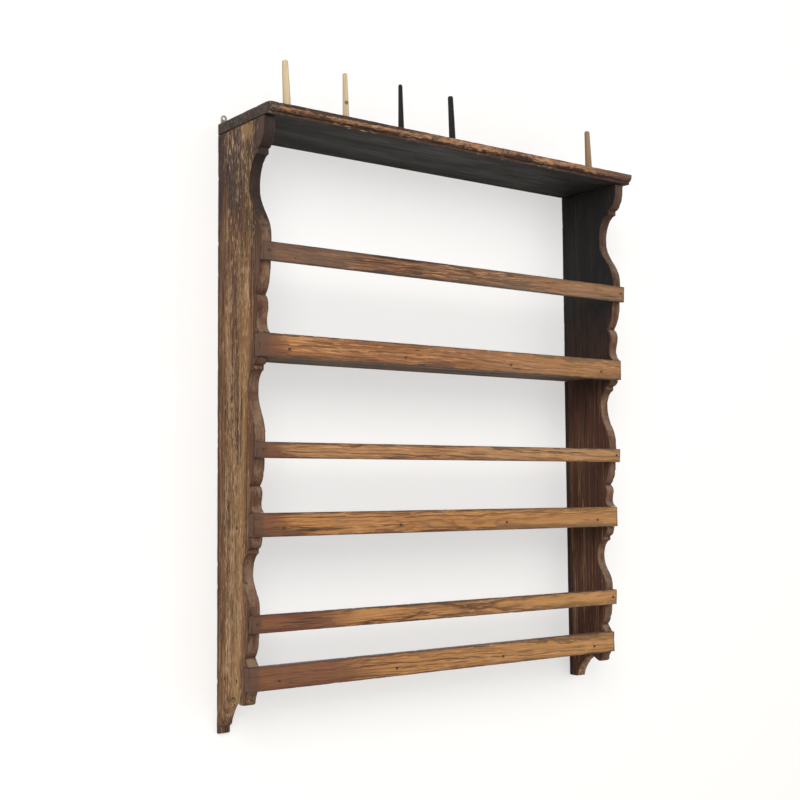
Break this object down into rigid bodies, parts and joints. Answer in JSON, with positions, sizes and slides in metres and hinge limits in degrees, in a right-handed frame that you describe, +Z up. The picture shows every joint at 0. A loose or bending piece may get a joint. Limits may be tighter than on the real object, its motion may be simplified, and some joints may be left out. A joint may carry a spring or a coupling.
{
  "type": "hanging plate rack",
  "caption": "Wall-hung plate rack in old pine: shaped side boards, moulded top board with pegs, shelves behind lips and guard rails.",
  "frame": {"origin": "middle of the top board's back face, between the outer faces of the side boards, where the rack meets the wall", "axes": "+X along the wall to the right as one faces the rack, +Y into the wall, +Z up"},
  "size_m": [0.948, 0.19, 1.2539],
  "materials": {
    "side_board": "worn, stained pine",
    "top_board": "worn, dark underneath",
    "shelf_board": "waxed, dark",
    "lip_board": "waxed pine with open grain",
    "rail_board": "waxed pine with open grain",
    "pale_peg": "bare, whittled",
    "dark_peg": "stained near black",
    "weathered_peg": "bare, weathered",
    "old_iron": "forged, dull, slightly rusty"
  },
  "bodies": {
    "root": {"side_left": "side_board", "side_right": "side_board", "top_board": "top_board", "shelf_upper": "shelf_board", "lip_upper": "lip_board", "rail_upper": "rail_board", "shelf_middle": "shelf_board", "lip_middle": "lip_board", "rail_middle": "rail_board", "shelf_lower": "shelf_board", "lip_lower": "lip_board", "rail_lower": "rail_board", "peg_1": "pale_peg", "peg_2": "pale_peg", "peg_3": "dark_peg", "peg_4": "dark_peg", "peg_7": "weathered_peg", "hanger_left": "old_iron", "hanger_right": "old_iron", "nail_shelf_upper_left_back": "old_iron", "nail_shelf_upper_left_front": "old_iron", "nail_shelf_upper_right_back": "old_iron", "nail_shelf_upper_right_front": "old_iron", "nail_shelf_middle_left_back": "old_iron", "nail_shelf_middle_left_front": "old_iron", "nail_shelf_middle_right_back": "old_iron", "nail_shelf_middle_right_front": "old_iron", "nail_shelf_lower_left_back": "old_iron", "nail_shelf_lower_left_front": "old_iron", "nail_shelf_lower_right_back": "old_iron", "nail_shelf_lower_right_front": "old_iron", "nail_lip_upper_1": "old_iron", "nail_lip_upper_2": "old_iron", "nail_lip_upper_3": "old_iron", "nail_lip_upper_4": "old_iron", "nail_lip_middle_1": "old_iron", "nail_lip_middle_2": "old_iron", "nail_lip_middle_3": "old_iron", "nail_lip_middle_4": "old_iron", "nail_lip_lower_1": "old_iron", "nail_lip_lower_2": "old_iron", "nail_lip_lower_3": "old_iron", "nail_lip_lower_4": "old_iron", "nail_rail_upper_left": "old_iron", "nail_rail_upper_right": "old_iron", "nail_rail_middle_left": "old_iron", "nail_rail_middle_right": "old_iron", "nail_rail_lower_left": "old_iron", "nail_rail_lower_right": "old_iron", "nail_top_left_back": "old_iron", "nail_top_left_front": "old_iron", "nail_top_right_back": "old_iron", "nail_top_right_front": "old_iron", "nail_hanger_left_top_board": "old_iron", "nail_hanger_left_side": "old_iron", "nail_hanger_right_top_board": "old_iron", "nail_hanger_right_side": "old_iron"}
  },
  "joints": []
}
